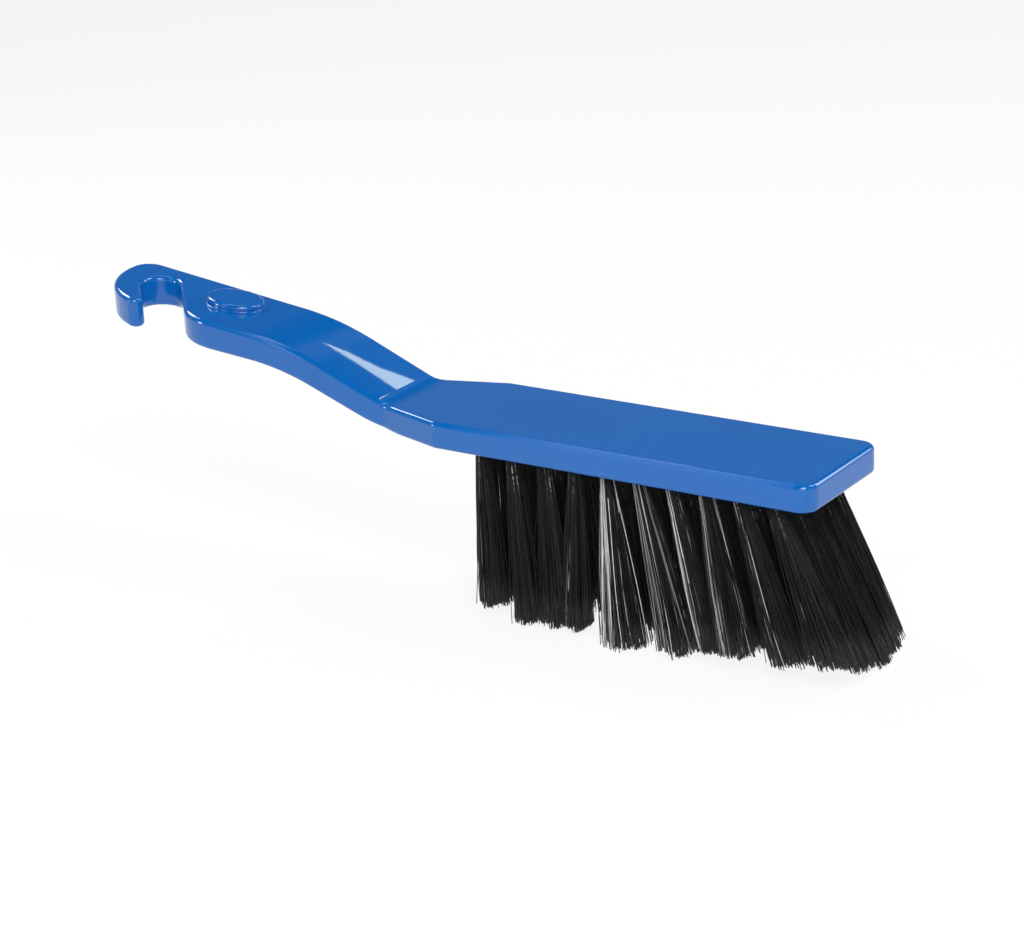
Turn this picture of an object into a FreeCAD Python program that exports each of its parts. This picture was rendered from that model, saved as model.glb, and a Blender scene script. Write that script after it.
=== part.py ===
import FreeCAD, Part
import math
import os
import Sketcher

# Hand broom: a one-piece plastic moulding (block, cranked handle, hook and button) whose block
# holds rows of bristle tufts, each folded round a flat metal anchor in a blind hole.
# While it is built, x = 0 is where the block leaves its shoulders, y = 0 is the middle plane
# and z = 0 is the underside of the block. The handle points to -x. Millimetres and degrees.

sizes = {
    # Block
    "block_length": 151.2,
    "block_width": 52.0,
    "block_thickness": 10.0,
    "block_corner_radius": 6.0,
    "shoulder_length": 28.0,
    "shoulder_radius": 6.0,
    # Handle, seen from above and from the side
    "neck_width": 35.0,
    "neck_radius": 14.0,
    "grip_width": 41.0,
    "handle_reach": 169.2,
    "crease_distance": 27.0,
    "crease_radius": 22.0,
    "crease_under_radius": 60.0,
    "ramp_angle": 21.5,
    "crown_distance": 72.0,
    "crown_radius": 120.0,
    "grip_angle": 6.6,
    "crown_thickness": 10.4,
    "end_thickness": 12.0,
    "top_edge_radius": 1.8,
    "bottom_edge_radius": 1.6,
    # Hanging hook: a slanted slot with a round end, open to the near side of the grip
    "hook_heel_radius": 8.0,
    "hook_end_flat": 0.2,
    "hook_tip_radius": 3.2,
    "slot_width": 15.0,
    "slot_setback": 21.9,
    "slot_offset": 2.3,
    "slot_angle": 47.5,
    "slot_corner_radius": 22.0,
    # Oval button on the grip
    "button_setback": 57.6,
    "button_offset": 4.0,
    "button_length": 24.0,
    "button_width": 19.0,
    "button_height": 2.6,
    "button_edge_radius": 1.3,
    "button_root_radius": 0.5,
    # Hollow under the handle, crossed by ribs
    "hollow_start": 36.0,
    "hollow_slot_wall": 4.2,
    "hollow_side_wall": 3.0,
    "hollow_roof": 3.5,
    "rib_count": 4,
    "rib_thickness": 2.0,
    # Tuft holes
    "row_count": 5,
    "tufts_per_row": 10,
    "tuft_side_margin": 7.0,
    "tuft_back_margin": 16.5,
    "tuft_front_margin": 17.6,
    "hole_diameter": 5.7,
    "hole_floor": 2.0,
    # Tufts
    "tuft_side_count": 8,
    "tuft_clearance": 0.1,
    "tuft_collar": 1.5,
    "tuft_tip_diameter": 12.6,
    "tuft_back_angle": 2.5,
    "tuft_front_angle": 21.0,
    "tuft_side_angle": 4.0,
    "bristle_reach": 61.0,
    # Trimmed ends: level in the middle, rounded off towards the back and the front
    "trim_level_back": 45.0,
    "trim_level_front": 92.0,
    "trim_back_radius": 130.0,
    "trim_front_radius": 500.0,
    # Anchors
    "anchor_thickness": 0.5,
    "anchor_height": 1.8,
    "anchor_bite": 0.7,
    "anchor_clearance": 0.05,
    "anchor_fold": 1.4,
    # Cuts pass this far beyond what they cut
    "overrun": 2.0,
}

os.makedirs("parts", exist_ok=True)
doc = FreeCAD.newDocument("hand_broom")
sheet = doc.addObject("Spreadsheet::Sheet", "Sizes")
for row, (alias, number) in enumerate(sizes.items(), start=1):
    sheet.set(f"A{row}", alias)
    sheet.set(f"B{row}", str(number))
    sheet.setAlias(f"B{row}", alias)
doc.recompute()


def size(text):
    return float(sheet.evalExpression(text))


def bind(thing, **expressions):
    for name, text in expressions.items():
        thing.setExpression(name, text)


# Worked-out places along the side of the handle, as expressions of the sizes above
top = "Sizes.block_thickness"
ramp = "Sizes.ramp_angle * 1 deg"
grip = "Sizes.grip_angle * 1 deg"
crown_top = f"({top} + (Sizes.crown_distance - Sizes.crease_distance) * tan({ramp}))"
crown_middle = f"(({ramp} + {grip}) / 2)"
crown_half_turn = f"(({ramp} - {grip}) / 2)"


def grip_top(distance):
    return f"({crown_top} + ({distance} - Sizes.crown_distance) * tan({grip}))"


def ramp_top(distance):
    return f"({top} + ({distance} - Sizes.crease_distance) * tan({ramp}))"


def crown_corner(depth):
    along = f"-Sizes.crown_distance - {depth} * sin({crown_middle}) / cos({crown_half_turn})"
    up = f"{crown_top} - {depth} * cos({crown_middle}) / cos({crown_half_turn})"
    return along, up


def sketch_on(body, plane, name):
    sketch = body.newObject("Sketcher::SketchObject", name)
    support = next(item for item in body.Origin.OriginFeatures if item.Role == plane)
    sketch.AttachmentSupport = (support, [""])
    sketch.MapMode = "FlatFace"
    return sketch


def hold(sketch, text, kind, *where):
    number = sketch.addConstraint(Sketcher.Constraint(kind, *where, size(text)))
    sketch.setExpression(f"Constraints[{number}]", text)


def draw_polygon(sketch, corners):
    points = [FreeCAD.Vector(size(along), size(across), 0) for along, across in corners]
    for start, end in zip(points, points[1:] + points[:1]):
        sketch.addGeometry(Part.LineSegment(start, end), False)
    for line, (along, across) in enumerate(corners):
        following = (line + 1) % len(corners)
        sketch.addConstraint(Sketcher.Constraint("Coincident", line, 2, following, 1))
        hold(sketch, along, "DistanceX", -1, 1, line, 1)
        hold(sketch, across, "DistanceY", -1, 1, line, 1)


def pad(body, sketch, name, length, both_ways=False):
    feature = body.newObject("PartDesign::Pad", name)
    feature.Profile = sketch
    feature.Midplane = both_ways
    bind(feature, Length=length)
    doc.recompute()
    return feature


def pocket_through(body, sketch, name):
    before = body.Tip.Shape.Volume
    feature = body.newObject("PartDesign::Pocket", name)
    feature.Profile = sketch
    feature.Type = "ThroughAll"
    feature.Midplane = True
    doc.recompute()
    if feature.Shape.Volume >= before:
        raise ValueError(f"{name} cut nothing")
    return feature


def round_off(body, name, radius, wanted):
    base = body.Tip
    edges = [f"Edge{n}" for n, edge in enumerate(base.Shape.Edges, start=1) if wanted(edge)]
    feature = body.newObject("PartDesign::Fillet", name)
    feature.Base = (base, edges)
    bind(feature, Radius=radius)
    doc.recompute()
    return feature


closeness_share = 0.001


def near(value, target):
    return abs(value - target) < closeness_share * size(top)


def crosswise_at(along, up):
    x, z = size(along), size(up)
    return lambda edge: all(near(v.X, x) and near(v.Z, z) for v in edge.Vertexes)


def upright_at(*corners):
    spots = [(size(along), size(across)) for along, across in corners]
    return lambda edge: any(all(near(v.X, x) and near(v.Y, y) for v in edge.Vertexes) for x, y in spots)


def rim_of(shape, upward):
    # Edges between a face that looks up or down and a face that stands upright
    level_share = 0.5
    upright_share = 0.1

    def steepness(face, point):
        return face.normalAt(*face.Surface.parameter(point)).z

    def wanted(edge):
        middle = edge.valueAt((edge.FirstParameter + edge.LastParameter) / 2)
        slopes = [steepness(face, middle) for face in shape.ancestorsOfType(edge, Part.Face)]
        level = any(slope * upward > level_share for slope in slopes)
        upright = any(abs(slope) < upright_share for slope in slopes)
        return level and upright

    return wanted


# Side of the moulding: a plate, level over the block and cranked up the handle, thicker to its end
side = doc.addObject("PartDesign::Body", "side_plate")
side_sketch = sketch_on(side, "XZ_Plane", "side_profile")
handle_end = "-Sizes.handle_reach"
end_top = grip_top("Sizes.handle_reach")
bottom_crease = f"-Sizes.crease_distance - {top} * tan({ramp} / 2)"
bottom_crown = crown_corner("Sizes.crown_thickness")
draw_polygon(
    side_sketch,
    [
        ("Sizes.block_length", "0"),
        ("Sizes.block_length", top),
        ("-Sizes.crease_distance", top),
        ("-Sizes.crown_distance", crown_top),
        (handle_end, end_top),
        (handle_end, f"{end_top} - Sizes.end_thickness / cos({grip})"),
        bottom_crown,
        (bottom_crease, "0"),
    ],
)
pad(side, side_sketch, "side_pad", "Sizes.block_width", both_ways=True)
round_off(side, "crease_top", "Sizes.crease_radius", crosswise_at("-Sizes.crease_distance", top))
round_off(side, "crease_under", "Sizes.crease_under_radius", crosswise_at(bottom_crease, "0"))
round_off(side, "crown_top", "Sizes.crown_radius", crosswise_at("-Sizes.crown_distance", crown_top))
round_off(side, "crown_bottom", "Sizes.crown_radius - Sizes.crown_thickness", crosswise_at(*bottom_crown))

# Outline from above: block, shoulders and a handle that widens to the grip, with rounded corners
plan = doc.addObject("PartDesign::Body", "plan_outline")
plan_sketch = sketch_on(plan, "XY_Plane", "plan_profile")
block_half = "Sizes.block_width / 2"
neck_half = "Sizes.neck_width / 2"
grip_half = "Sizes.grip_width / 2"
neck = "-Sizes.shoulder_length"
draw_polygon(
    plan_sketch,
    [
        ("Sizes.block_length", f"-{block_half}"),
        ("Sizes.block_length", block_half),
        ("0", block_half),
        (neck, neck_half),
        (handle_end, grip_half),
        (handle_end, f"-{grip_half}"),
        (neck, f"-{neck_half}"),
        ("0", f"-{block_half}"),
    ],
)
pad(plan, plan_sketch, "plan_pad", f"2 * ({end_top} + Sizes.overrun)", both_ways=True)
round_off(
    plan,
    "block_corners",
    "Sizes.block_corner_radius",
    upright_at(("Sizes.block_length", block_half), ("Sizes.block_length", f"-{block_half}")),
)
round_off(plan, "shoulders", "Sizes.shoulder_radius", upright_at(("0", block_half), ("0", f"-{block_half}")))
round_off(plan, "neck", "Sizes.neck_radius", upright_at((neck, neck_half), (neck, f"-{neck_half}")))
round_off(plan, "hook_heel", "Sizes.hook_heel_radius", upright_at((handle_end, grip_half)))
# The sweep takes up the rest of the handle's end, whose corners are sharper by the grip's taper
taper = f"atan(({grip_half} - {neck_half}) / (Sizes.handle_reach - Sizes.shoulder_length))"
hook_sweep = f"(Sizes.grip_width - Sizes.hook_end_flat) / tan(45 deg + {taper} / 2) - Sizes.hook_heel_radius"
round_off(plan, "hook_sweep", hook_sweep, upright_at((handle_end, f"-{grip_half}")))

# Hook slot, drawn along its own slanted axis from the centre of its round end
slot_sketch = sketch_on(plan, "XY_Plane", "slot_profile")
slot_x = "(Sizes.slot_setback - Sizes.handle_reach)"
slot_slant = "Sizes.slot_angle * 1 deg"
slot_sketch.AttachmentOffset.Rotation = FreeCAD.Rotation(FreeCAD.Vector(0, 0, -1), size("Sizes.slot_angle"))
bind(
    slot_sketch,
    **{
        "AttachmentOffset.Base.x": slot_x,
        "AttachmentOffset.Base.y": "Sizes.slot_offset",
        "AttachmentOffset.Rotation.Angle": slot_slant,
    },
)
slot_half = size("Sizes.slot_width") / 2
slot_run = "2 * Sizes.grip_width"
slot_far = size(slot_run)
slot_points = [
    FreeCAD.Vector(0, -slot_half, 0),
    FreeCAD.Vector(slot_far, -slot_half, 0),
    FreeCAD.Vector(slot_far, slot_half, 0),
    FreeCAD.Vector(0, slot_half, 0),
]
for start, end in zip(slot_points, slot_points[1:]):
    slot_sketch.addGeometry(Part.LineSegment(start, end), False)
round_end = Part.Circle(FreeCAD.Vector(0, 0, 0), FreeCAD.Vector(0, 0, 1), slot_half)
slot_sketch.addGeometry(Part.ArcOfCircle(round_end, math.pi / 2, 3 * math.pi / 2), False)
slot_sketch.addConstraint(Sketcher.Constraint("Coincident", 0, 2, 1, 1))
slot_sketch.addConstraint(Sketcher.Constraint("Coincident", 1, 2, 2, 1))
slot_sketch.addConstraint(Sketcher.Constraint("Tangent", 2, 2, 3, 1))
slot_sketch.addConstraint(Sketcher.Constraint("Tangent", 3, 2, 0, 1))
slot_sketch.addConstraint(Sketcher.Constraint("Coincident", 3, 3, -1, 1))
slot_sketch.addConstraint(Sketcher.Constraint("Horizontal", 0))
slot_sketch.addConstraint(Sketcher.Constraint("Vertical", 1))
slot_sketch.addConstraint(Sketcher.Constraint("Horizontal", 2))
hold(slot_sketch, "Sizes.slot_width / 2", "Radius", 3)
hold(slot_sketch, slot_run, "DistanceX", -1, 1, 1, 1)
doc.recompute()
pocket_through(plan, slot_sketch, "slot")


def slot_mouth(wall):
    # The upright edge where one wall of the slot, +1 the grip's or -1 the hook's, comes out
    into_slot = slot_sketch.Placement.inverse()

    def wanted(edge):
        ends = [into_slot.multVec(vertex.Point) for vertex in edge.Vertexes]
        return all(near(end.y, wall * slot_half) and end.x > slot_half for end in ends)

    return wanted


round_off(plan, "hook_tip", "Sizes.hook_tip_radius", slot_mouth(-1))
round_off(plan, "slot_corner", "Sizes.slot_corner_radius", slot_mouth(1))

# The moulding is what the two outlines have in common, with its rims rounded and its button added
plate = doc.addObject("Part::Common", "cranked_plate")
plate.Base = side
plate.Tool = plan
doc.recompute()
moulding = doc.addObject("PartDesign::Body", "moulding")
moulding.BaseFeature = plate
doc.recompute()
round_off(moulding, "top_rim", "Sizes.top_edge_radius", rim_of(moulding.Tip.Shape, 1))
round_off(moulding, "bottom_rim", "Sizes.bottom_edge_radius", rim_of(moulding.Tip.Shape, -1))

# The button is rooted in the middle of the plate
button_sketch = sketch_on(moulding, "XY_Plane", "button_profile")
button_distance = "(Sizes.handle_reach - Sizes.button_setback)"
button_root = f"{top} / 2"
button_sketch.AttachmentOffset.Rotation = FreeCAD.Rotation(FreeCAD.Vector(0, 1, 0), size("Sizes.grip_angle"))
bind(
    button_sketch,
    **{
        "AttachmentOffset.Base.x": f"-{button_distance} - {button_root} * sin({grip})",
        "AttachmentOffset.Base.y": "Sizes.button_offset",
        "AttachmentOffset.Base.z": f"{grip_top(button_distance)} - {button_root} * cos({grip})",
        "AttachmentOffset.Rotation.Angle": grip,
    },
)
half_length = size("Sizes.button_length") / 2
half_width = size("Sizes.button_width") / 2
oval_ends = [FreeCAD.Vector(half_length, 0, 0), FreeCAD.Vector(0, half_width, 0)]
oval_ends.sort(key=lambda end: end.Length, reverse=True)
oval = button_sketch.addGeometry(Part.Ellipse(*oval_ends, FreeCAD.Vector(0, 0, 0)), False)
button_sketch.exposeInternalGeometry(oval)
button_sketch.addConstraint(Sketcher.Constraint("Coincident", oval, 3, -1, 1))
# The oval's longer axis is drawn before its shorter one
axes = [oval + 1, oval + 2]
lengthwise, widthwise = axes if half_length >= half_width else reversed(axes)
button_sketch.addConstraint(Sketcher.Constraint("Horizontal", lengthwise))
hold(button_sketch, "Sizes.button_length", "Distance", lengthwise)
hold(button_sketch, "Sizes.button_width", "Distance", widthwise)
doc.recompute()
pad(moulding, button_sketch, "button", f"{button_root} + Sizes.button_height")


def button_edge(at_top):
    # The oval edges round the button's top, or round its root on the grip
    into_button = button_sketch.Placement.inverse()
    halfway = size(f"{button_root} + Sizes.button_height / 2")

    def wanted(edge):
        points = [into_button.multVec(point) for point in edge.discretize(3)]
        on_oval = all(
            abs(math.hypot(point.x / half_length, point.y / half_width) - 1) < closeness_share
            for point in points
        )
        return on_oval and all((point.z > halfway) == at_top for point in points)

    return wanted


round_off(moulding, "button_edge", "Sizes.button_edge_radius", button_edge(True))
round_off(moulding, "button_root", "Sizes.button_root_radius", button_edge(False))


def strip(name, length, width, height):
    box = doc.addObject("Part::Box", name)
    bind(box, Length=length, Width=width, Height=height)
    return box


# Hollow under the handle: bays between the ribs, cut out of the plate's own side and lowered by
# the roof. The last bay ends where its near corner leaves a wall beside the hook slot.
hollow_half = f"({neck_half} - Sizes.hollow_side_wall)"
slot_side = "(Sizes.slot_width / 2 + Sizes.hollow_slot_wall)"
slot_fall = f"(Sizes.slot_offset + {slot_side} * cos({slot_slant}) + {hollow_half})"
hollow_end = f"({slot_x} + {slot_side} * sin({slot_slant}) + {slot_fall} / tan({slot_slant}))"
hollow_length = f"(-{hollow_end} - Sizes.hollow_start)"
bay_length = f"(({hollow_length} - Sizes.rib_count * Sizes.rib_thickness) / (Sizes.rib_count + 1))"
bays = doc.addObject("Part::Compound", "hollow_bays")
bay_boxes = []
for number in range(int(size("Sizes.rib_count")) + 1):
    bay = strip(f"bay_{number + 1}", bay_length, f"2 * {hollow_half}", f"{end_top} + 2 * Sizes.overrun")
    bind(
        bay,
        **{
            "Placement.Base.x": f"{hollow_end} + {number} * ({bay_length} + Sizes.rib_thickness)",
            "Placement.Base.y": f"-{hollow_half}",
            "Placement.Base.z": "-Sizes.overrun",
        },
    )
    bay_boxes.append(bay)
bays.Links = bay_boxes
hollow = doc.addObject("Part::Common", "hollow")
hollow.Base = side
hollow.Tool = bays
bind(hollow, **{"Placement.Base.z": "-Sizes.hollow_roof"})
hollowed = doc.addObject("Part::Cut", "hollowed_moulding")
hollowed.Base = moulding
hollowed.Tool = hollow

# Space that trimming leaves the tufts: level below in the middle, curving up at the back and front
floor = "-Sizes.bristle_reach"
trim_width = "Sizes.block_width + 2 * Sizes.bristle_reach"
level_trim = doc.addObject("Part::Box", "level_trim")
bind(
    level_trim,
    Length="Sizes.trim_level_front - Sizes.trim_level_back",
    Width=trim_width,
    Height=f"Sizes.bristle_reach + {top}",
)
bind(
    level_trim,
    **{
        "Placement.Base.x": "Sizes.trim_level_back",
        "Placement.Base.y": f"-({trim_width}) / 2",
        "Placement.Base.z": floor,
    },
)


def curved_trim(name, level, radius):
    drum = doc.addObject("Part::Cylinder", name)
    drum.Placement.Rotation = FreeCAD.Rotation(FreeCAD.Vector(0, 0, 1), FreeCAD.Vector(0, 1, 0))
    bind(drum, Radius=radius, Height=trim_width)
    bind(
        drum,
        **{
            "Placement.Base.x": level,
            "Placement.Base.y": f"-({trim_width}) / 2",
            "Placement.Base.z": f"{floor} + {radius}",
        },
    )
    return drum


trim = doc.addObject("Part::MultiFuse", "trim_space")
trim.Shapes = [
    level_trim,
    curved_trim("back_trim", "Sizes.trim_level_back", "Sizes.trim_back_radius"),
    curved_trim("front_trim", "Sizes.trim_level_front", "Sizes.trim_front_radius"),
]


def tuft_places():
    # Rows of equal length, side by side
    rows = int(size("Sizes.row_count"))
    count = int(size("Sizes.tufts_per_row"))
    outer = size("Sizes.block_width / 2 - Sizes.tuft_side_margin")
    start = size("Sizes.tuft_back_margin")
    span = size("Sizes.block_length - Sizes.tuft_front_margin") - start
    pitch = span / (count - 1)
    lean_back = size("Sizes.tuft_back_angle")
    lean_gain = size("Sizes.tuft_front_angle") - lean_back
    for row in range(rows):
        across_share = 2 * row / (rows - 1) - 1
        flare = math.radians(size("Sizes.tuft_side_angle") * across_share)
        for number in range(count):
            along = pitch * number
            lean = math.radians(lean_back + lean_gain * along / span)
            root = FreeCAD.Vector(start + along, outer * across_share, 0)
            axis = FreeCAD.Vector(math.tan(lean), math.tan(flare), -1).normalize()
            yield f"tuft_row_{row + 1}_{number + 1:02d}", root, axis


def placed(thing, root, turn, offset):
    thing.Placement = FreeCAD.Placement(root + turn.multVec(offset), turn)
    return thing


def rod(name, radius, height):
    cylinder = doc.addObject("Part::Cylinder", name)
    bind(cylinder, Radius=radius, Height=height)
    return cylinder


def girth(name, radius):
    polygon = doc.addObject("Part::RegularPolygon", name)
    bind(polygon, Polygon="Sizes.tuft_side_count", Circumradius=radius)
    return polygon


anchor_length = "Sizes.hole_diameter + 2 * Sizes.anchor_bite"
root_radius = "(Sizes.hole_diameter / 2 - Sizes.tuft_clearance)"
tip_radius = "Sizes.tuft_tip_diameter / 2"
tufts = []
cutters = []
anchors = []
for name, root, axis in tuft_places():
    crosswise = FreeCAD.Vector(0, 1, 0) - axis * axis.y
    turn = FreeCAD.Rotation(crosswise, axis.cross(crosswise), axis, "ZXY")
    tilt = f"{math.degrees(math.acos(-axis.z))} deg"
    depth = (
        f"((Sizes.block_thickness - Sizes.hole_floor - Sizes.hole_diameter / 2 * sin({tilt})) / cos({tilt}))"
    )
    bottom = size(depth)

    hole = rod(f"hole_{name}", "Sizes.hole_diameter / 2", f"{depth} + Sizes.overrun")
    cutters.append(placed(hole, root, turn, FreeCAD.Vector(0, 0, -bottom)))

    anchor = strip(f"anchor_{name}", anchor_length, "Sizes.anchor_thickness", "Sizes.anchor_height")
    fold = bottom - size("Sizes.anchor_fold")
    corner = FreeCAD.Vector(size(anchor_length) / 2, size("Sizes.anchor_thickness") / 2, fold)
    anchors.append(placed(anchor, root, turn, -corner))

    room = "2 * Sizes.anchor_clearance"
    seat = strip(
        f"seat_{name}",
        f"{anchor_length} + {room}",
        f"Sizes.anchor_thickness + {room}",
        f"Sizes.anchor_height + {room}",
    )
    gap = size("Sizes.anchor_clearance")
    cutters.append(placed(seat, root, turn, -corner - FreeCAD.Vector(gap, gap, gap)))

    # The bundle is straight down to its collar, and from there it spreads evenly to its tip
    length = f"(Sizes.bristle_reach / cos({tilt}) + Sizes.overrun)"
    spread = f"({tip_radius} - {root_radius}) * {length} / Sizes.bristle_reach"
    girths = [
        ("root", root_radius, f"Sizes.tuft_clearance - {depth}"),
        ("collar", root_radius, "Sizes.tuft_collar"),
        ("tip", f"{root_radius} + {spread}", f"Sizes.tuft_collar + {length}"),
    ]
    bundle = doc.addObject("Part::Loft", f"bundle_{name}")
    bundle.Sections = [
        placed(girth(f"{place}_{name}", radius), root, turn, FreeCAD.Vector(0, 0, size(along)))
        for place, radius, along in girths
    ]
    bundle.Solid = True
    bundle.Ruled = True
    trimmed = doc.addObject("Part::Common", f"trimmed_{name}")
    trimmed.Base = bundle
    trimmed.Tool = trim
    tuft = doc.addObject("Part::Cut", name)
    tuft.Base = trimmed
    tuft.Tool = seat
    tufts.append(tuft)

anchor_group = doc.addObject("Part::Compound", "tuft_anchors")
anchor_group.Links = anchors
tuft_seats = doc.addObject("Part::Compound", "tuft_seats")
tuft_seats.Links = cutters
body = doc.addObject("Part::Cut", "moulded_body")
body.Base = hollowed
body.Tool = tuft_seats
doc.recompute()

# The finished broom stands on its bristles with its origin below the middle of its length and width
nodes = [body, anchor_group] + tufts
box = Part.makeCompound([node.Shape for node in nodes]).optimalBoundingBox()
standing = FreeCAD.Placement(FreeCAD.Vector(-box.Center.x, -box.Center.y, -box.ZMin), FreeCAD.Rotation())
for node in nodes:
    node.Placement = standing

for item in doc.Objects:
    if "Invalid" in item.State or "Error" in item.State:
        raise ValueError(f"{item.Name}: {item.getStatusString()}")
for node in nodes:
    if node.Shape.isNull() or not node.Shape.isValid():
        raise ValueError(f"{node.Label} has no valid shape")
for node in nodes:
    node.Shape.exportStep(f"parts/{node.Label}.step")
print(f"{len(nodes)} nodes, {box.XLength:.1f} x {box.YLength:.1f} x {box.ZLength:.1f} mm")
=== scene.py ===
import math
import bpy
import numpy as np
from mathutils import Matrix, Vector


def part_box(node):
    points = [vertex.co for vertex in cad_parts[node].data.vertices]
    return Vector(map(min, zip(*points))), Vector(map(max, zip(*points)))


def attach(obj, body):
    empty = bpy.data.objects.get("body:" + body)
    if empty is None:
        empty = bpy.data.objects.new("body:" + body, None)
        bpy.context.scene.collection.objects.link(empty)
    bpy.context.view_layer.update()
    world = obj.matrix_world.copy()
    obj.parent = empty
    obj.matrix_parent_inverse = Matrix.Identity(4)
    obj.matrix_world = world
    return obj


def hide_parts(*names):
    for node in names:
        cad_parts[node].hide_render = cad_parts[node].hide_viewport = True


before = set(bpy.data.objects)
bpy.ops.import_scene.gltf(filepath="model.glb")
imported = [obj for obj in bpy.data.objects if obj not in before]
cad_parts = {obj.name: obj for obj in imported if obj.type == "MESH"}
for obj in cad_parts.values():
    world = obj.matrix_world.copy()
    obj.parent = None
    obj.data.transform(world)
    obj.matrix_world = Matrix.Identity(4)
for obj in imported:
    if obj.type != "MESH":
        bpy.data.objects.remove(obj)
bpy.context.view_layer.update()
scene = bpy.context.scene
scene.view_settings.view_transform = "Standard"
bodyLow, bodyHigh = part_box("moulded_body")
block = {"length": 0.1512, "thickness": 0.01}
# middle of the shoulder line, across the block's top at its handle end
shoulder = Vector((bodyHigh.x - block["length"], 0, bodyLow.z + block["thickness"]))
print("frame loaded:", len(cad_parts), "nodes")


# wraps a node's output, so that shader sums read as plain sums
class Wire:
    def __init__(self, tree, socket=None):
        self.tree = tree
        self.socket = socket

    # any node: its type, its settings, its sockets' values or links, and the output wanted
    def node(self, kind, settings, sockets, output=0):
        made = self.tree.nodes.new(kind)
        for name, value in settings.items():
            if name == "stops":
                for place, stop in enumerate(value):
                    if place > 1:  # a new ramp has two stops
                        made.color_ramp.elements.new(stop[0])
                    made.color_ramp.elements[place].position = stop[0]
                    made.color_ramp.elements[place].color = (*stop[1], 1)
            else:
                setattr(made, name, value)
        for name, value in sockets.items():
            if isinstance(value, Wire):
                self.tree.links.new(value.socket, made.inputs[name])
            else:
                made.inputs[name].default_value = value
        return Wire(self.tree, made.outputs[output] if made.outputs else None)

    def sums(self, operation, first, second):
        return self.node("ShaderNodeMath", {"operation": operation}, {0: first, 1: second})

    def __add__(self, other):
        return self.sums("ADD", self, other)

    def __radd__(self, other):
        return self.sums("ADD", other, self)

    def __sub__(self, other):
        return self.sums("SUBTRACT", self, other)

    def __rsub__(self, other):
        return self.sums("SUBTRACT", other, self)

    def __mul__(self, other):
        return self.sums("MULTIPLY", self, other)

    def __rmul__(self, other):
        return self.sums("MULTIPLY", other, self)

    # 0 below low, 1 above high, smooth between
    def step(self, low, high):
        return self.node("ShaderNodeMapRange", {"interpolation_type": "SMOOTHSTEP"},
                         {"Value": self, "From Min": low, "From Max": high})

    # colour a where the wire is 0, colour b where it is 1
    def tint(self, a, b):
        return self.node("ShaderNodeMix", {"data_type": "RGBA"}, {0: self, 6: a, 7: b}, 2)


def newMaterial(name):
    material = bpy.data.materials.new(name)
    material.use_nodes = True
    material.node_tree.nodes.clear()
    return material, Wire(material.node_tree)


def finishMaterial(start, shader):
    start.node("ShaderNodeOutputMaterial", {}, {"Surface": shader})


# blue gloss plastic of the one-piece moulding
def makeBluePlastic():
    look = {
        "blue": (0.002, 0.114, 0.425, 1),
        "deepBlue": (0.002, 0.108, 0.405, 1),
        "cloudScale": 18,
        "gloss": 0.02,
        "scuffed": 0.02,
        "scuffScale": 90,
        "peelScale": 180,
        "peelStrength": 0.004,
        "peelHeight": 0.0004,
        "index": 1.53,
    }
    material, start = newMaterial("bluePlastic")
    place = start.node("ShaderNodeTexCoord", {}, {}, "Object")
    cloud = start.node("ShaderNodeTexNoise", {}, {"Vector": place, "Scale": look["cloudScale"], "Detail": 3})
    peel = start.node("ShaderNodeTexNoise", {}, {"Vector": place, "Scale": look["peelScale"], "Detail": 2})
    scuff = start.node("ShaderNodeTexNoise", {}, {
        "Vector": place, "Scale": look["scuffScale"], "Detail": 6, "Roughness": 0.7})
    bump = start.node("ShaderNodeBump", {}, {
        "Height": peel, "Strength": look["peelStrength"], "Distance": look["peelHeight"]}, "Normal")
    colour = cloud.step(0.3, 0.7).tint(look["blue"], look["deepBlue"])
    rough = look["gloss"] + look["scuffed"] * scuff.step(0.58, 0.8)
    shader = start.node("ShaderNodeBsdfPrincipled", {}, {
        "Base Color": colour, "Roughness": rough, "Normal": bump, "IOR": look["index"]})
    finishMaterial(start, shader)
    return material


# pressed steel of the plates that hold the tufts in their holes
def makeAnchorSteel():
    look = {
        "dull": (0.52, 0.51, 0.48, 1),
        "bright": (0.74, 0.73, 0.7, 1),
        "rough": 0.28,
        "roughGrain": 0.15,
        "grainScale": (200, 200, 4000),
        "grainStrength": 0.1,
        "grainHeight": 0.0001,
    }
    material, start = newMaterial("anchorSteel")
    place = start.node("ShaderNodeTexCoord", {}, {}, "Object")
    stretched = start.node("ShaderNodeMapping", {}, {"Vector": place, "Scale": look["grainScale"]})
    grain = start.node("ShaderNodeTexNoise", {}, {"Vector": stretched, "Scale": 1, "Detail": 4})
    colour = grain.tint(look["dull"], look["bright"])
    rough = look["rough"] + look["roughGrain"] * grain
    bump = start.node("ShaderNodeBump", {}, {
        "Height": grain, "Strength": look["grainStrength"], "Distance": look["grainHeight"]}, "Normal")
    shader = start.node("ShaderNodeBsdfPrincipled", {}, {
        "Base Color": colour, "Roughness": rough, "Metallic": 1.0, "Normal": bump})
    finishMaterial(start, shader)
    return material


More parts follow.
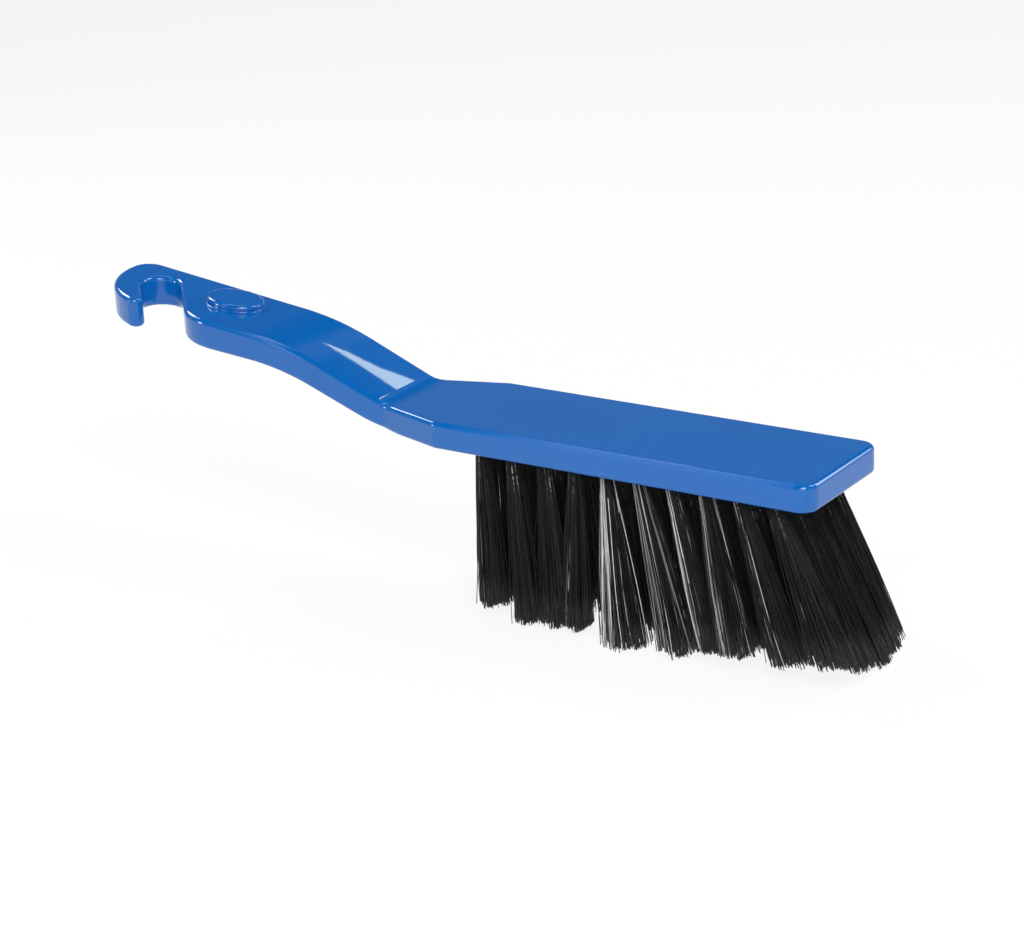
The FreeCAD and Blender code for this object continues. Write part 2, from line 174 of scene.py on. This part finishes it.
# black filaments: along runs from root to cut end, strand and shine are one number each for a filament, shine
# being a painted highlight
def makeFilamentBlack():
    look = {
        "black": (0.002, 0.0022, 0.0025, 1),
        "grey": (0.034, 0.035, 0.035, 1),
        # colour of the painted highlights on the filaments
        "pale": (0.7, 0.71, 0.71, 1),
        "strandGrey": 0.5,
        "endGrey": 1.1,
        "fleckGrey": 0.25,
        "fleckScale": 900,
        "paintedSpeckGlint": 0.7,
        "rough": 0.32,
        "roughFleck": 0.12,
        "index": 1.5,
        "specular": 0.25,
    }
    material, start = newMaterial("filamentBlack")
    along = start.node("ShaderNodeAttribute", {"attribute_name": "along"}, {}, "Fac")
    strand = start.node("ShaderNodeAttribute", {"attribute_name": "strand"}, {}, "Fac")
    shine = start.node("ShaderNodeAttribute", {"attribute_name": "shine"}, {}, "Fac")
    place = start.node("ShaderNodeTexCoord", {}, {}, "Object")
    fleck = start.node("ShaderNodeTexNoise", {}, {"Vector": place, "Scale": look["fleckScale"], "Detail": 2})
    # greyer in some filaments, towards the cut end and in flecks
    strandGrey = look["strandGrey"] * strand.step(0.2, 1.0)
    endGrey = look["endGrey"] * along.step(0.78, 1.0)
    fleckGrey = look["fleckGrey"] * fleck.step(0.5, 0.75)
    black = (strandGrey + endGrey + fleckGrey).tint(look["black"], look["grey"])
    # painted highlight: pale where the light runs along a filament, and painted glint specks near its root
    # painted glint: pale specks near the root of a few filaments
    paintedRootGlint = strand.step(0.92, 0.96) * (1 - along.step(0.12, 0.3)) * fleck.step(0.45, 0.6)
    paintedGlint = shine * (0.5 + 0.5 * fleck) + look["paintedSpeckGlint"] * paintedRootGlint
    colour = paintedGlint.tint(black, look["pale"])
    rough = look["rough"] + look["roughFleck"] * fleck
    shader = start.node("ShaderNodeBsdfPrincipled", {}, {
        "Base Color": colour, "Roughness": rough,
        "IOR": look["index"], "Specular IOR Level": look["specular"]})
    finishMaterial(start, shader)
    return material


bluePlastic = makeBluePlastic()
anchorSteel = makeAnchorSteel()
filamentBlack = makeFilamentBlack()


def paint(node, material):
    node.data.materials.clear()
    node.data.materials.append(material)


paint(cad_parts["moulded_body"], bluePlastic)
paint(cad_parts["tuft_anchors"], anchorSteel)
print("body and anchors painted")


# one filament, a slim tube of unit length along z with a wider cut end, bent and placed later
def makeFilament():
    form = {"sides": 4, "rings": 6, "tipShare": 1.15}
    bpy.ops.object.select_all(action="DESELECT")
    bpy.ops.mesh.primitive_cylinder_add(vertices=form["sides"], radius=1, depth=1, location=(0, 0, 0.5))
    filament = bpy.context.object
    bpy.ops.object.transform_apply(location=True, rotation=True, scale=True)
    bpy.ops.object.mode_set(mode="EDIT")
    for ring in range(1, form["rings"]):
        bpy.ops.mesh.select_all(action="SELECT")
        bpy.ops.mesh.bisect(plane_co=(0, 0, ring / form["rings"]), plane_no=(0, 0, 1))
    bpy.ops.mesh.select_all(action="DESELECT")
    bpy.ops.object.mode_set(mode="OBJECT")
    for corner in filament.data.vertices:
        corner.select = corner.co.z > 0.99  # the cut end
    bpy.ops.object.mode_set(mode="EDIT")
    bpy.ops.mesh.select_mode(type="VERT")
    bpy.ops.transform.resize(value=(form["tipShare"], form["tipShare"], 1))
    bpy.ops.object.mode_set(mode="OBJECT")
    return filament


# the filament's corners and faces as arrays, to copy it many times
def readShape(piece):
    corners = np.array([corner.co for corner in piece.data.vertices])
    faces = [list(face.vertices) for face in piece.data.polygons]
    return corners, faces


filament = makeFilament()
filamentCorners, filamentFaces = readShape(filament)
bpy.data.objects.remove(filament)
print("filament shaped:", len(filamentFaces), "faces")


bristles = {
    "perTuft": 360,
    "thickness": 0.00033,
    "thicknessSpread": 0.15,
    "rootRadius": 0.0025,
    "tipRadius": 0.0064,
    "intoHole": 0.004,
    "jostle": 0.1,  # of the cut ends, as a share of the tip radius
    "bow": 0.0008,
    "waveShare": 0.35,  # of the bow
    "cutBlocks": 9,
    "cutReach": 0.9,  # share of the tip radius that the blocks lie over
    "uneven": 0.0007,
    "ragged": 0.0002,
    "strayShare": 0.015,
    "strayJostle": 0.45,
    "strayBow": 2.2,  # times the bow of the others
    "lowest": 0.0003,
    "seed": 11,
}
# the filaments with a painted highlight: most are on the near side of a tuft, towards the handle, where the
# light falls
paintedGleam = {
    "litMiddle": -0.4,
    "litHalf": 0.35,
    "litNear": 0.3,
    "litChance": 1.7,
    "otherChance": 0.25,
    "faintest": 0.15,
    "brightest": 1.5,
}
# how the near row hangs, tuft by tuft: sway along the block and length against the solid in mm,
# spread of the cut ends, and the share of filaments with a painted highlight
nearRow = {
    "sway": [3.4, 3, 0, -7.5, -3, 4, 1.5, -3, 2, 4.5],
    "longer": [-0.6, 0.4, -1.2, -1, 1.6, -0.4, -2.4, -2.8, -2.2, -3.6],
    "fan": [0.95, 0.95, 1, 0.85, 1.3, 1.15, 0.75, 1.05, 1.1, 1.25],
    "shine": [0.01, 0.01, 0.01, 0.04, 0.5, 0.3, 0.36, 0.3, 0.12, 0.03],
}
# the first and last tuft of each row behind it, by the row's number
rowEnds = {
    "sway": {2: [1, 5], 3: [1, 4.5], 4: [1, 2.5], 5: [1, -2]},
    "longer": {2: [-1, 1.5], 3: [-1, 4], 4: [-1, 5], 5: [-1, 4.5]},
}
# the tufts between those: mean and spread of sway and length
innerTufts = {"sway": (0, 0.8), "longer": (-1.8, 0.7), "fan": 1, "shine": 0.02}


# middle of a tuft solid's end that faces up, in its hole, or down, at the cut
def endMiddle(node, facing):
    faces = [face for face in node.data.polygons if face.normal.z * facing > 0.7]
    areas = np.array([[face.area] for face in faces])
    middles = np.array([face.center for face in faces])
    return (middles * areas).sum(axis=0) / areas.sum()


# the line of a tuft's solid in the frame: where it leaves the block, and the middle of its cut end
def tuftLine(node):
    root = endMiddle(node, 1)
    tip = endMiddle(node, -1)
    mouth = root + (tip - root) * (root[2] - bodyLow.z) / (root[2] - tip[2])
    return mouth, tip


# the filaments of a tuft, from the hole to the cut ends: all their corners, and their places in the fan
def layFilaments(mouth, tip, hang, dice):
    count = bristles["perTuft"]
    axis = (tip - mouth) / np.linalg.norm(tip - mouth)
    side = np.cross(axis, (0, 1, 0))
    side = side / np.linalg.norm(side)
    front = np.cross(side, axis)
    # spread evenly over a disc, then jostled
    turn = dice.uniform(0, math.tau) + np.arange(count) * math.pi * (3 - math.sqrt(5))
    out = np.sqrt((np.arange(count) + 0.5) / count)
    across = np.stack([out * np.cos(turn), out * np.sin(turn)], axis=1)
    fan = across + dice.normal(0, bristles["jostle"], (count, 2))
    stray = dice.random(count) < hang["strays"]
    strayFan = fan + dice.normal(0, bristles["strayJostle"], (count, 2))
    fan = np.where(stray[:, None], strayFan, fan)
    root = mouth + (across[:, :1] * side + across[:, 1:] * front) * bristles["rootRadius"]
    tipMiddle = tip + np.array((hang["sway"] / 1000, 0, 0)) + axis * (hang["longer"] / 1000)
    end = tipMiddle + np.pad(fan, ((0, 0), (0, 1))) * bristles["tipRadius"] * hang["fan"]
    # cut level, in small blocks of filaments, a little uneven
    blockEdges = np.linspace(-bristles["cutReach"], bristles["cutReach"], bristles["cutBlocks"] - 1)
    blockLengths = dice.normal(0, bristles["uneven"], bristles["cutBlocks"])
    uneven = blockLengths[np.digitize(fan[:, 0], blockEdges)]
    ragged = dice.normal(0, bristles["ragged"], count)
    end = end + axis * (uneven + ragged)[:, None]
    start = root - (end - root) / np.linalg.norm(end - root, axis=1)[:, None] * bristles["intoHole"]
    bend = dice.normal(0, bristles["bow"], (count, 3))
    bend = np.where(stray[:, None], bend * bristles["strayBow"], bend)
    wave = dice.normal(0, bristles["bow"] * bristles["waveShare"], (count, 3))
    # the template's rings laid along each bent line
    along = filamentCorners[:, 2]
    line = start[:, None, :] + (end - start)[:, None, :] * along[None, :, None]
    line = line + bend[:, None, :] * (np.sin(math.pi * along) * along)[None, :, None]
    line = line + wave[:, None, :] * (np.sin(math.tau * along) * along)[None, :, None]
    spread = bristles["thicknessSpread"]
    thick = bristles["thickness"] / 2 * dice.uniform(1 - spread, 1 + spread, count)
    ring = filamentCorners[:, :1] * side + filamentCorners[:, 1:2] * front
    points = line + ring[None, :, :] * thick[:, None, None]
    points[:, :, 2] = np.maximum(points[:, :, 2], bristles["lowest"])
    return points, fan


# how much painted highlight each filament gets, 0 for most
def paintedShineOf(fan, share, dice):
    count = len(fan)
    lit = (np.abs(fan[:, 0] - paintedGleam["litMiddle"]) < paintedGleam["litHalf"]) & (fan[:, 1] < paintedGleam["litNear"])
    chance = share * np.where(lit, paintedGleam["litChance"], paintedGleam["otherChance"])
    shines = dice.random(count) < chance
    return np.where(shines, dice.uniform(paintedGleam["faintest"], paintedGleam["brightest"], count), 0)


# a bundle of filaments on a tuft's line, all in one mesh
def makeTuft(name, mouth, tip, hang, dice):
    points, fan = layFilaments(mouth, tip, hang, dice)
    count = len(points)
    perFilament = len(filamentCorners)
    faces = []
    for place in range(count):
        faces += [[corner + perFilament * place for corner in face] for face in filamentFaces]
    mesh = bpy.data.meshes.new(name)
    mesh.from_pydata(points.reshape(-1, 3), [], faces)
    mesh.shade_smooth()
    # painted highlight: how pale each filament is made where the light would glint on it
    bright = paintedShineOf(fan, hang["shine"], dice)
    layers = {
        "along": np.tile(filamentCorners[:, 2], count),
        "strand": np.repeat(dice.random(count), perFilament),
        "shine": np.repeat(bright, perFilament),
    }
    for layer, values in layers.items():
        mesh.attributes.new(layer, "FLOAT", "POINT").data.foreach_set("value", values.astype(np.float32))
    mesh.materials.append(filamentBlack)
    piece = bpy.data.objects.new(name, mesh)
    scene.collection.objects.link(piece)
    return piece


def makeBristles():
    dice = np.random.default_rng(bristles["seed"])
    names = sorted(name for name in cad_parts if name.startswith("tuft_row_"))
    endPlaces = (0, len(nearRow["sway"]) - 1)
    for name in names:
        row = int(name.split("_")[2])
        place = int(name.split("_")[3]) - 1
        mouth, tip = tuftLine(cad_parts[name])
        hang = {
            "sway": dice.normal(*innerTufts["sway"]),
            "longer": dice.normal(*innerTufts["longer"]),
            "fan": innerTufts["fan"],
            "shine": innerTufts["shine"],
            "strays": 0 if place in endPlaces else bristles["strayShare"],
        }
        if row == 1:
            for trait, values in nearRow.items():
                hang[trait] = values[place]
        elif place in endPlaces:
            for trait, rows in rowEnds.items():
                hang[trait] = rows[row][endPlaces.index(place)]
        piece = makeTuft("bristles" + name[4:], mouth, tip, hang, dice)
        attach(piece, "root")
        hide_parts(name)
    print("tufts of filaments:", len(names))


makeBristles()


# white table under the broom, kept white to the camera away from its shadow
def makeFloor():
    floor = {
        "size": 12,
        "white": (0.86, 0.86, 0.86, 1),
        "paleGrain": (0.88, 0.88, 0.88, 1),
        "grainScale": 40,
        "shadow": 0.12,
    }
    material, start = newMaterial("tableWhite")
    place = start.node("ShaderNodeTexCoord", {}, {}, "Object")
    grain = start.node("ShaderNodeTexNoise", {}, {"Vector": place, "Scale": floor["grainScale"], "Detail": 3})
    colour = grain.tint(floor["white"], floor["paleGrain"])
    diffuse = start.node("ShaderNodeBsdfDiffuse", {}, {"Color": colour})
    seen = start.node("ShaderNodeLightPath", {}, {}, "Is Camera Ray")
    mirrored = start.node("ShaderNodeLightPath", {}, {}, "Is Glossy Ray")
    through = start.node("ShaderNodeLightPath", {}, {}, "Is Transmission Ray")
    glow = start.node("ShaderNodeEmission", {}, {"Color": (1, 1, 1, 1), "Strength": 1})
    both = start.node("ShaderNodeMixShader", {}, {
        0: (seen + mirrored + through) * (1 - floor["shadow"]), 1: diffuse, 2: glow})
    finishMaterial(start, both)
    bpy.ops.object.select_all(action="DESELECT")
    bpy.ops.mesh.primitive_plane_add(size=floor["size"], location=(0, 0, 0))
    table = bpy.context.object
    table.name = "table"
    table.data.materials.append(material)


# pale round the horizon and dark overhead, as brightness by height
def makeSky():
    studio = {
        "horizon": [
            (0, 0.5), (0.08, 0.3), (0.2, 0.22), (0.32, 0.17), (0.38, 0.12), (0.42, 0.06),
            (0.48, 0.025), (0.52, 0.012),
        ],
        "band": [(0.55, 0.03), (0.58, 0.2), (0.6, 0.17), (0.617, 0.06), (0.635, 0.012)],
    }
    world = bpy.data.worlds.new("studio")
    world.use_nodes = True
    world.node_tree.nodes.clear()
    sky = Wire(world.node_tree)
    towards = sky.node("ShaderNodeTexCoord", {}, {}, "Generated")
    height = sky.node("ShaderNodeSeparateXYZ", {}, {"Vector": towards}, "Z")
    stops = [(place, (level, level, level)) for place, level in studio["horizon"] + studio["band"]]
    pale = sky.node("ShaderNodeValToRGB", {"stops": stops}, {"Fac": height})
    glow = sky.node("ShaderNodeBackground", {}, {"Color": pale, "Strength": 1})
    sky.node("ShaderNodeOutputWorld", {}, {"Surface": glow})
    scene.world = world


# a lamp standing off from a point of the broom in a given direction, facing that point
def addSoftbox(name, aim, towards, distance, size, power, longSide=(1, 0, 0), fade=0.35):
    lamp = bpy.data.lights.new(name, "AREA")
    lamp.shape = "RECTANGLE"
    lamp.size = size[0]
    lamp.size_y = size[1]
    lamp.energy = power
    # brightest in the middle and fading towards the edges of the box
    lamp.use_nodes = True
    lamp.node_tree.nodes.clear()
    light = Wire(lamp.node_tree)
    spot = light.node("ShaderNodeNewGeometry", {}, {}, "Parametric")  # 0 to 1 over the box, both ways
    wide = light.node("ShaderNodeSeparateXYZ", {}, {"Vector": spot}, "X")
    high = light.node("ShaderNodeSeparateXYZ", {}, {"Vector": spot}, "Y")
    wideFade = wide.step(0, fade) * (1 - wide.step(1 - fade, 1))
    highFade = high.step(0, fade) * (1 - high.step(1 - fade, 1))
    evened = (1 - fade) ** -2  # gives back the light that the fading takes
    glow = light.node("ShaderNodeEmission", {}, {"Strength": wideFade * highFade * evened})
    light.node("ShaderNodeOutputLight", {}, {"Surface": glow})
    back = Vector(towards).normalized()
    along = Vector(longSide)
    along = (along - back * along.dot(back)).normalized()
    turn = Matrix((along, back.cross(along), back)).transposed().to_4x4()
    box = bpy.data.objects.new(name, lamp)
    box.matrix_world = Matrix.Translation(Vector(aim) + back * distance) @ turn
    box.visible_camera = False
    scene.collection.objects.link(box)


def makeLamps():
    middle = (0, 0, 0.07)
    frontEnd = shoulder + Vector((block["length"], 0, 0))
    lamps = {
        "keyBox": {
            "aim": (0.05, 0, 0.07), "towards": (0.45, -0.5, 0.74), "distance": 1.3,
            "size": (0.8, 0.8), "power": 12,
        },
        "topBox": {
            "aim": middle, "towards": (0.45, 0.4, 0.8), "distance": 1.4,
            "size": (0.6, 0.6), "power": 5.5,
        },
        "frontBox": {
            "aim": middle, "towards": (0.5, -0.82, 0.28), "distance": 1.3,
            "size": (1.6, 0.7), "power": 3.4,
        },
        "sideBox": {
            "aim": middle, "towards": (-0.75, -0.58, 0.3), "distance": 1.2,
            "size": (0.3, 0.5), "power": 3,
        },
        # seen in the rounded rims of the shoulder and the hook
        "leftBox": {
            "aim": shoulder, "towards": (-0.78, 0.25, 0.57), "distance": 0.9,
            "size": (0.36, 0.36), "power": 2.5,
        },
        # seen in the top edge of the block's front end
        "endBox": {
            "aim": frontEnd, "towards": (0.38, 0.78, 0.49), "distance": 1.2,
            "size": (1, 0.42), "power": 3.9, "longSide": (-0.6, 0, 0.75),
        },
    }
    for name, lamp in lamps.items():
        addSoftbox(name, **lamp)
    # an arch of dim strips over the block, seen in its near rim
    arch = {
        "turns": (-65, -20, 25), "lean": -0.43, "rise": 0.9, "distance": 1.2,
        "size": (0.87, 0.34), "power": 0.65,
    }
    for turn in arch["turns"]:
        tilt = math.radians(turn)
        over = (arch["lean"], arch["rise"] * math.sin(tilt), arch["rise"] * math.cos(tilt))
        overBlock = (0, math.cos(tilt), -math.sin(tilt))
        addSoftbox("archBox", shoulder, over, arch["distance"], arch["size"], arch["power"], overBlock)


# a narrow slanted window behind, whose image lies on the ramp and stops at the crease
def makeWindow():
    pane = {
        "strength": 4.8,
        "colour": (0.88, 1, 0.82, 1),
        "fromShoulder": (-0.0315, 0.0022, 0.0018),  # the point of the ramp that it faces
        "towards": (-0.2038, 0.766, 0.6097),
        "distance": 0.35,
        "longSide": (-0.926, -0.26, 0.28),
        # in mm along the long side and across it
        "corners": [
            (-12, -4.6), (7, -2.4), (15, -1.4), (36, -1), (44.2, -8.1), (52.1, -11.2),
            (62, -16.1), (69.4, -20.9), (60.8, -14.7), (49.6, -8.2), (43.5, -5), (35.5, 1.2),
            (30.2, 1.5), (15.5, 2.9), (6.6, 4), (-12, 6),
        ],
    }
    material, start = newMaterial("windowLight")
    glow = start.node("ShaderNodeEmission", {}, {"Color": pane["colour"], "Strength": pane["strength"]})
    finishMaterial(start, glow)
    ramp = shoulder + Vector(pane["fromShoulder"])
    back = Vector(pane["towards"]).normalized()
    along = Vector(pane["longSide"])
    along = (along - back * along.dot(back)).normalized()
    across = back.cross(along)
    sides = len(pane["corners"])
    bpy.ops.object.select_all(action="DESELECT")
    bpy.ops.mesh.primitive_circle_add(vertices=sides, radius=1, fill_type="NGON", location=(0, 0, 0))
    window = bpy.context.object
    window.name = "window"
    for corner, (u, v) in zip(window.data.vertices, pane["corners"]):
        corner.co = ramp + back * pane["distance"] + along * u / 1000 + across * v / 1000
    window.data.materials.append(material)
    window.visible_camera = False
    window.visible_shadow = False


# the photograph's view: turned about the middle of the block's shoulder line, then slid a little
def makeCamera():
    view = {
        "azimuth": 0.596142,
        "elevation": 0.344114,
        "roll": -0.045242,
        "distance": 1.0,
        "slide": (0.014341, -0.02371),
        "lens": 96.4934,
        "sensor": 36,
    }
    ahead = Vector((
        -math.sin(view["azimuth"]) * math.cos(view["elevation"]),
        math.cos(view["azimuth"]) * math.cos(view["elevation"]),
        -math.sin(view["elevation"]),
    ))
    level = Vector((math.cos(view["azimuth"]), math.sin(view["azimuth"]), 0))
    upright = level.cross(ahead)
    right = level * math.cos(view["roll"]) + upright * math.sin(view["roll"])
    up = upright * math.cos(view["roll"]) - level * math.sin(view["roll"])
    eye = shoulder - ahead * view["distance"] + right * view["slide"][0] + up * view["slide"][1]
    lens = bpy.data.cameras.new("photoView")
    lens.sensor_fit = "HORIZONTAL"
    lens.sensor_width = view["sensor"]
    lens.lens = view["lens"]
    lens.clip_start = 0.01
    lens.clip_end = 50
    camera = bpy.data.objects.new("photoView", lens)
    turn = Matrix((right, up, -ahead)).transposed().to_4x4()
    camera.matrix_world = Matrix.Translation(eye) @ turn
    scene.collection.objects.link(camera)
    scene.camera = camera


makeFloor()
makeSky()
makeLamps()
makeWindow()
makeCamera()
print("table, lamps and camera set")
